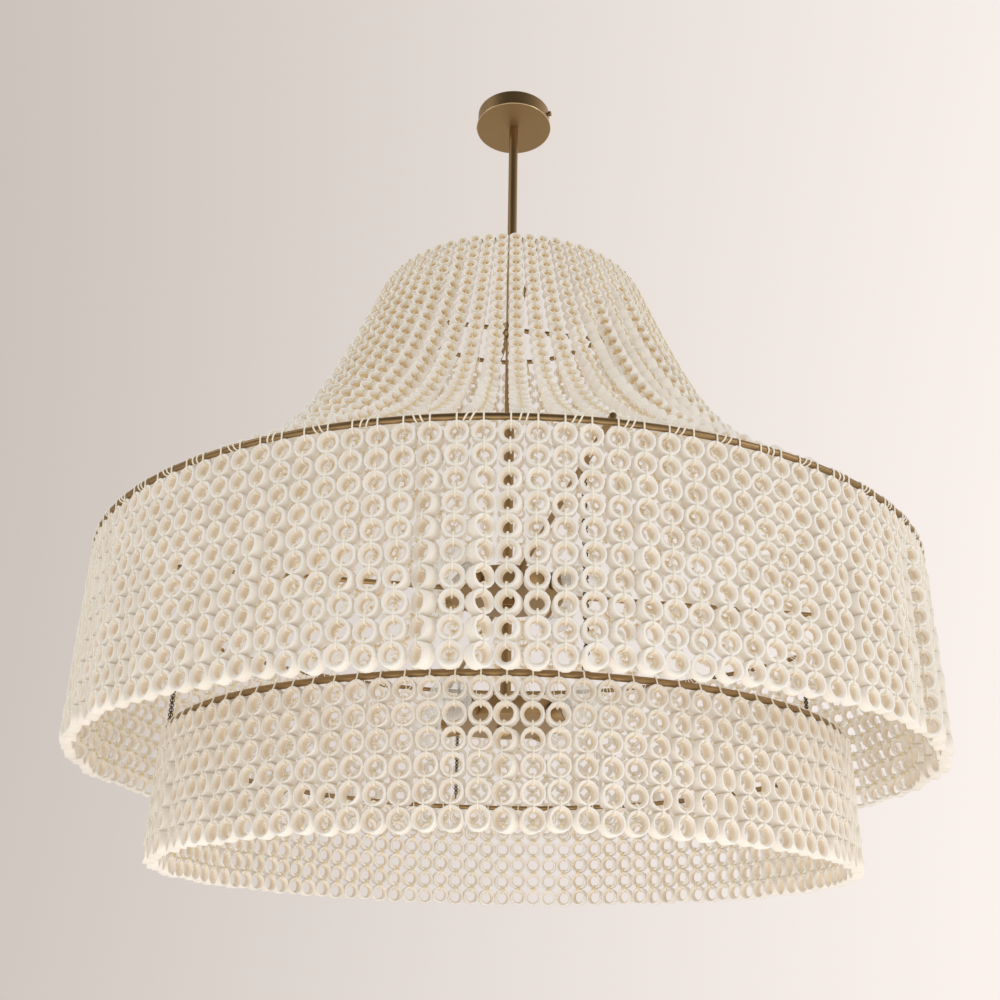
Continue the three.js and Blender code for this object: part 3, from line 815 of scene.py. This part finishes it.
def set_apart(count, draw, meets, slack):
    """Draws strands one by one, and of 40 tries takes the first that keeps clear of its neighbours."""
    strands = [draw(0)]
    while len(strands) < count:
        tries = [draw(len(strands)) for _ in range(40)]
        last = len(strands) == count - 1
        good = [strand for strand in tries
                if meets(strands[-1], strand) < slack and not (last and meets(strand, strands[0]) > slack)]
        strands.append(good[0] if good else min(tries, key=lambda strand: meets(strands[-1], strand)))
    return strands


def twist_strands(count, rows, spacing, strays, combed, seed):
    """For each strand, how far each of its rings turns and stands out.

    A share of the strands strays far. Combed ones, from a first to a last number, all turn far one way, or
    hang straight where the way is 0."""
    chance = random.Random(seed)
    other_chance = random.Random(seed + 500)

    def draw(number):
        aim = chance.gauss(0, 0.33)
        if chance.random() < strays:
            aim = chance.choice((-1, 1)) * chance.uniform(0.6, 1.3)
        for first, last, way in combed:
            if first <= number <= last:
                aim = way * other_chance.uniform(0.6, 1.2)
        out = chance.uniform(-0.0035, 0.0035)
        haste = chance.uniform(1.5, 5.0)
        strand = []
        for row in range(rows):
            share = 1 - math.exp(-row / haste)
            strand.append((aim * share + chance.gauss(0, 0.08) * min(row, 1), out * share))
        return strand

    def meets(left, right):
        worst = -math.inf
        for (turn_a, out_a), (turn_b, out_b) in zip(left, right):
            a = corners(ring_width, ring_length, turn_a, 0, out_a)
            b = corners(ring_width, ring_length, turn_b, spacing, out_b)
            worst = max(worst, overlap(a, b))
        return worst

    return set_apart(count, draw, meets, 0.0003)


def add_skirt(name, strands, panels, rows, hoop_radius, hoop_z, bead_radius, ring_bore, first_row, pitch_at,
              strays, combed, bodies, seed):
    """Hangs a skirt's strands; each panel has a piece of rings, one of cords and one of knots."""
    step = math.tau / strands
    spacing = 2 * bead_radius * math.sin(step / 2)
    twists = twist_strands(strands, rows, spacing, strays, combed, seed)
    chance = random.Random(seed + 1)
    drops = [chance.uniform(-hem_play, hem_play) for _ in range(strands)]
    bead = ring_bead(ring_width, ring_bore, ring_length, 14, hole_wood_and_shade)
    half = ring_length / 2
    hole = ring_bore / 2 - cord_radius
    per_panel = strands // panels
    for panel in range(panels):
        placed = []
        cords = []
        ties = []
        knots = []
        for i in range(per_panel):
            strand = panel * per_panel + i - (per_panel - 1) // 2
            angle = strand * step
            spin = Matrix.Rotation(angle, 4, "Z")
            above = None
            for row, (turn_by, outward) in enumerate(twists[strand % strands]):
                height = -first_row - pitch_at(angle) * row - drops[strand % strands] * row / rows
                centre = Vector((0, -(bead_radius + outward), hoop_z + height))
                placed.append((bead, spin @ Matrix.Translation(centre) @ Matrix.Rotation(turn_by, 4, "Z")))
                if above:
                    middle = (centre + above[0]) / 2
                    place = (spin @ Matrix.Translation(middle)
                             @ Matrix.Rotation((turn_by + above[1]) / 2, 4, "Z"))
                    span = (above[0].z - centre.z) / 2 - hole
                    cords.append(moved(place, lashing(half, -span, span)))
                    knots.append(place @ Matrix.Translation((0, half + cord_radius, 0)))
                else:
                    top = height + hole
                    loop = [
                        (bead_radius + half + cord_radius, top + loop_rise),
                        *arc(hoop_radius, 0, hoop_reach, 0, 175, 5),
                        (bead_radius - half - cord_radius, top + loop_rise),
                        (bead_radius - half + cord_bend, top), (bead_radius + half - cord_bend, top),
                    ]
                    cords.append([spin @ Vector((0, -radius, hoop_z + at)) for radius, at in loop])
                above = (centre, turn_by)
            if i < per_panel - 1:
                between = Matrix.Rotation(angle + step / 2, 4, "Z")
                grip = spacing / 2 - ring_width / 2 + cord_bend
                tie = [Vector((side * grip, -bead_radius * math.cos(step / 2), hoop_z - first_row))
                       for side in (-1, 1)]
                ties.append(moved(between, tie))
        body, nodes = bodies(panel + 1)
        string_beads(f"{name}_rings_{panel + 1}", placed, body, nodes, seed + panel)
        form = take_in(bmesh.new(), tubes("cords", cords, cord_radius, 1, closed=True),
                       tubes("ties", ties, tie_radius, 1))
        to_piece(f"{name}_cords_{panel + 1}", form, waxed_cord, body, crease=80)
        add_knots(f"{name}_knots_{panel + 1}", knots, body)


skirt_strands = 132
add_skirt(
    "outer", strands=skirt_strands, panels=12, rows=10, hoop_radius=big_hoop_radius, hoop_z=big_hoop_z,
    bead_radius=0.596, ring_bore=0.0160, first_row=0.0184,
    pitch_at=lambda angle: 0.0271 - 0.00035 * math.cos(angle), strays=0.16,
    combed=[(35, 54, 1), (78, 97, -1), (126, 126, 0), (129, 129, -1)],
    bodies=lambda panel: (f"outer_skirt_{panel}", [f"outer_skirt_{panel}"]), seed=11)


# Lower skirt
# Shorter strands of the same rings, six to a strand and with wider holes. They are tied in the same way and
# looped over the lower hoop.

add_skirt(
    "lower", strands=108, panels=4, rows=6, hoop_radius=lower_hoop_radius, hoop_z=lower_hoop_z,
    bead_radius=lower_hoop_radius, ring_bore=0.0180, first_row=0.0175, pitch_at=lambda angle: 0.0273,
    strays=0.05, combed=[], bodies=lambda panel: ("lower_tier", [f"lower_skirt_{panel}"]), seed=83)


# Drape
# Strands of graded rings, small at the top and as wide as the skirts' at the bottom. All hang in one curve
# from the top hoop and end in two cords that are wrapped on the wide hoop, between the skirt's loops.

drape_strands = 66
drape_gores = 3
drape_rings = 25
drape_top = (0.211, top_hoop_z - 0.0072)
drape_foot = (0.577, big_hoop_z + 0.012)
drape_end_share = 0.99
curve_steps = 400
top_pitch = 20.0
foot_pitch = 27.0
top_ring = (0.0196, 0.0100, 0.0130)
foot_ring = (ring_width, 0.0156, ring_length)
pair_half_gap = 0.0036


def drape_point(share):
    """A point of the curve at a share of its height; it falls steeply at first and flares at the foot."""
    sweep = 0.52 * share + 0.48 * share ** 4
    return Vector((0, -(drape_top[0] + (drape_foot[0] - drape_top[0]) * sweep),
                   drape_top[1] + (drape_foot[1] - drape_top[1]) * share))


samples = [drape_point(drape_end_share * step / curve_steps) for step in range(curve_steps + 1)]
lengths = [0.0]
for first, second in zip(samples, samples[1:]):
    lengths.append(lengths[-1] + (second - first).length)
weights = [top_pitch + (foot_pitch - top_pitch) * ring / (drape_rings - 1) for ring in range(drape_rings)]
pitches = [lengths[-1] * weight / sum(weights) for weight in weights]


def strand_frame(distance):
    """The place on a strand at a distance along it, with Z up the strand and -Y out of it."""
    at = min(max(int(np.searchsorted(lengths, distance)), 1), curve_steps - 1)
    up = (samples[at - 1] - samples[at + 1]).normalized()
    inward = Vector((0, up.z, -up.y))
    return Matrix.Translation(samples[at]) @ Matrix((Vector((1, 0, 0)), inward, up)).transposed().to_4x4()


ring_frames = [strand_frame(sum(pitches[:ring]) + pitches[ring] / 2) for ring in range(drape_rings)]
gap_frames = [strand_frame(sum(pitches[:ring + 1])) for ring in range(drape_rings - 1)]
drape_sizes = []
for ring in range(drape_rings):
    share = ring / (drape_rings - 1)
    drape_sizes.append(tuple(top + (foot - top) * share for top, foot in zip(top_ring, foot_ring)))


def twist_drape(seed):
    """How far each ring of each strand turns about its cord; at the front left and right they turn most."""
    chance = random.Random(seed)
    other_chance = random.Random(seed + 500)
    step = math.tau / drape_strands

    def draw(number):
        aim = chance.gauss(0, 0.2)
        if chance.random() < (0.85 if 4 <= number <= 9 else 0.12):
            aim = chance.choice((-1, 1)) * chance.uniform(0.6, 1.4)
        start = chance.uniform(1, 6)
        haste = chance.uniform(2.0, 8.0)
        if 49 <= number <= 63:
            aim = other_chance.uniform(0.55, 1.15)
            start = other_chance.uniform(0, 2)
            haste = other_chance.uniform(0.8, 3.0)
        turns = []
        for ring in range(drape_rings):
            share = 1 - math.exp(-max(ring - start, 0) / haste)
            turns.append(aim * share + chance.gauss(0, 0.07) * min(ring, 1))
        return turns

    def meets(left, right):
        worst = -math.inf
        for turn_a, turn_b, place, (width, _, length) in zip(left, right, ring_frames, drape_sizes):
            a = corners(width, length, turn_a, 0, 0)
            b = corners(width, length, turn_b, -2 * place.translation.y * math.sin(step / 2), 0)
            worst = max(worst, overlap(a, b))
        return worst

    return set_apart(drape_strands, draw, meets, 0.0004)


drape_twists = twist_drape(31)
# Each drape ring's hole tan, which is bare wood and painted shade, is strongest at the top ring and eases
# towards the foot.
drape_beads = [ring_bead(*sizes, 12, 1.0 - 0.3 * i / drape_rings) for i, sizes in enumerate(drape_sizes)]

_, first_bore, first_length = drape_sizes[0]
first_turn = moved(ring_frames[0], lashing(
    first_length / 2, first_bore / 2 - cord_radius, first_bore / 2 + loop_rise))
top_loop = first_turn[:1]
for radius, height in arc(top_hoop_radius, top_hoop_z, hoop_reach, 20, 195, 5):
    top_loop.append(Vector((0, -radius, height)))
top_loop += first_turn[5:]
_, last_bore, last_length = drape_sizes[-1]
last_turn = moved(ring_frames[-1], lashing(
    last_length / 2, cord_radius - last_bore / 2 - loop_rise, cord_radius - last_bore / 2))


def wrapped(side, lean):
    """One of a strand's two end cords, from the last ring round the wide hoop and back, at a lean."""
    aside = Vector((side * pair_half_gap, 0, 0))
    route = [last_turn[4] + aside / 4, last_turn[5] + aside / 4]
    for i, (radius, height) in enumerate(arc(big_hoop_radius, big_hoop_z, hoop_reach, -110, 130, 6)):
        route.append(Vector((lean * (0.4 * i - 1.2), -radius, height)) + aside)
    return route + [last_turn[0] + aside / 4, last_turn[1] + aside / 4]


lean_chance = random.Random(47)
per_gore = drape_strands // drape_gores
half_step = math.tau / skirt_strands / 2
for gore in range(drape_gores):
    placed = []
    cords = []
    wraps = []
    knots = []
    for strand in range(gore * per_gore, (gore + 1) * per_gore):
        spin = Matrix.Rotation(half_step + strand * math.tau / drape_strands, 4, "Z")
        turns = drape_twists[strand]
        for ring, place in enumerate(ring_frames):
            placed.append((drape_beads[ring], spin @ place @ Matrix.Rotation(turns[ring], 4, "Z")))
        for ring, place in enumerate(gap_frames):
            high = pitches[ring] / 2 - drape_sizes[ring][1] / 2 + cord_radius
            low = pitches[ring + 1] / 2 - drape_sizes[ring + 1][1] / 2 + cord_radius
            half = drape_sizes[ring][2] / 2
            between = spin @ place @ Matrix.Rotation((turns[ring] + turns[ring + 1]) / 2, 4, "Z")
            cords.append(moved(between, lashing(half, -low, high)))
            knots.append(between @ Matrix.Translation((0, half + cord_radius, 0)))
        cords.append(moved(spin, top_loop))
        lean = lean_chance.choice((-1, 1)) * lean_chance.uniform(0.002, 0.005)
        wraps += [moved(spin, wrapped(side, lean)) for side in (-1, 1)]
    string_beads(f"drape_rings_{gore + 1}", placed, "frame", [f"drape_{gore + 1}"], 200 + gore)
    for name, paths, finish in (("cords", cords, shaded_golden_cord), ("wraps", wraps, waxed_cord)):
        form = tubes(name, paths, cord_radius, 1, closed=True)
        to_piece(f"drape_{name}_{gore + 1}", form, finish, "frame", crease=80)
    add_knots(f"drape_knots_{gore + 1}", knots, "frame")


# Stage
# A pale plaster floor well below, and soft lamps on both sides and below. The room gives the object an even
# glow, and the camera, the metal and the glass see its pale walls, which are darker behind the camera.

floor_z = -2.5
floor_size = 9
floor_finish, flow = new_finish("floor")
mottle = flow.noise(1.5)
surface(flow, {
    "Base Color": flow.between((0.79, 0.75, 0.71), (0.85, 0.815, 0.775), mottle),
    "Roughness": 0.8,
})
floor_form = bmesh.new()
bmesh.ops.create_grid(floor_form, x_segments=1, y_segments=1, size=floor_size,
                      matrix=Matrix.Translation((0, 0, floor_z)))
floor_mesh = bpy.data.meshes.new("floor")
floor_form.to_mesh(floor_mesh)
floor_form.free()
floor_mesh.materials.append(floor_finish)
floor = bpy.data.objects.new("floor", floor_mesh)
bpy.context.scene.collection.objects.link(floor)

world = bpy.data.worlds.new("room")
bpy.context.scene.world = world
world.use_nodes = True
world.node_tree.nodes.clear()
flow = Flow(world.node_tree)
direction = flow.node("ShaderNodeTexCoord", output="Generated")
sideways = flow.node("ShaderNodeSeparateXYZ", values={0: direction}, output="X")
depth = flow.node("ShaderNodeSeparateXYZ", values={0: direction}, output="Y")
upward = flow.node("ShaderNodeSeparateXYZ", values={0: direction}, output="Z")
wall = flow.node("ShaderNodeValToRGB", {"stops": [
    (0.0, (0.565, 0.509, 0.468, 1)),
    (1.0, (0.975, 0.897, 0.857, 1)),
]}, {0: 1.1 * sideways - 0.12 * upward + 0.58})
fading = flow.node("ShaderNodeValToRGB", {"stops": [
    (0.20, (0.10, 0.098, 0.09, 1)),
    (0.75, (1.0, 1.0, 1.0, 1)),
]}, {0: 0.5 * depth + 0.5})
seen = flow.node("ShaderNodeLightPath", output="Is Camera Ray")
for ray in ("Is Transmission Ray", "Is Glossy Ray"):
    seen = flow.maths("MAXIMUM", seen, flow.node("ShaderNodeLightPath", output=ray))
glow = flow.between((0.60, 0.588, 0.568), (0.92, 0.902, 0.873), 0.5 - 0.10 * sideways - 0.34 * upward)
light = flow.node("ShaderNodeBackground", values={"Color": glow, "Strength": 1.0})
view = flow.node("ShaderNodeBackground", values={
    "Color": flow.mixed(wall, fading, 1.0, "MULTIPLY"), "Strength": 1.0})
shown = flow.node("ShaderNodeMixShader", values={0: seen, 1: light, 2: view})
flow.node("ShaderNodeOutputWorld", values={"Surface": shown})


def soft_lamp(name, place, aim, size, power, colour):
    data = bpy.data.lights.new(name, "AREA")
    data.shape = "DISK"
    data.size = size
    data.energy = power
    data.color = colour
    lamp = bpy.data.objects.new(name, data)
    bpy.context.scene.collection.objects.link(lamp)
    lamp.location = place
    lamp.rotation_euler = (Vector(aim) - Vector(place)).to_track_quat("-Z", "Y").to_euler()


soft_lamp("key", (3.1, -2.0, -0.7), (0, 0, -0.9), 2.0, 25, (1.0, 0.985, 0.965))
soft_lamp("left", (-2.6, -1.0, 0.9), (0, 0, -1), 1.1, 11, (1.0, 0.985, 0.965))
soft_lamp("bounce", (0, -0.4, -2.35), (0, 0, -1), 2.4, 14, (1.0, 0.97, 0.93))

bpy.context.scene.view_settings.view_transform = "Standard"
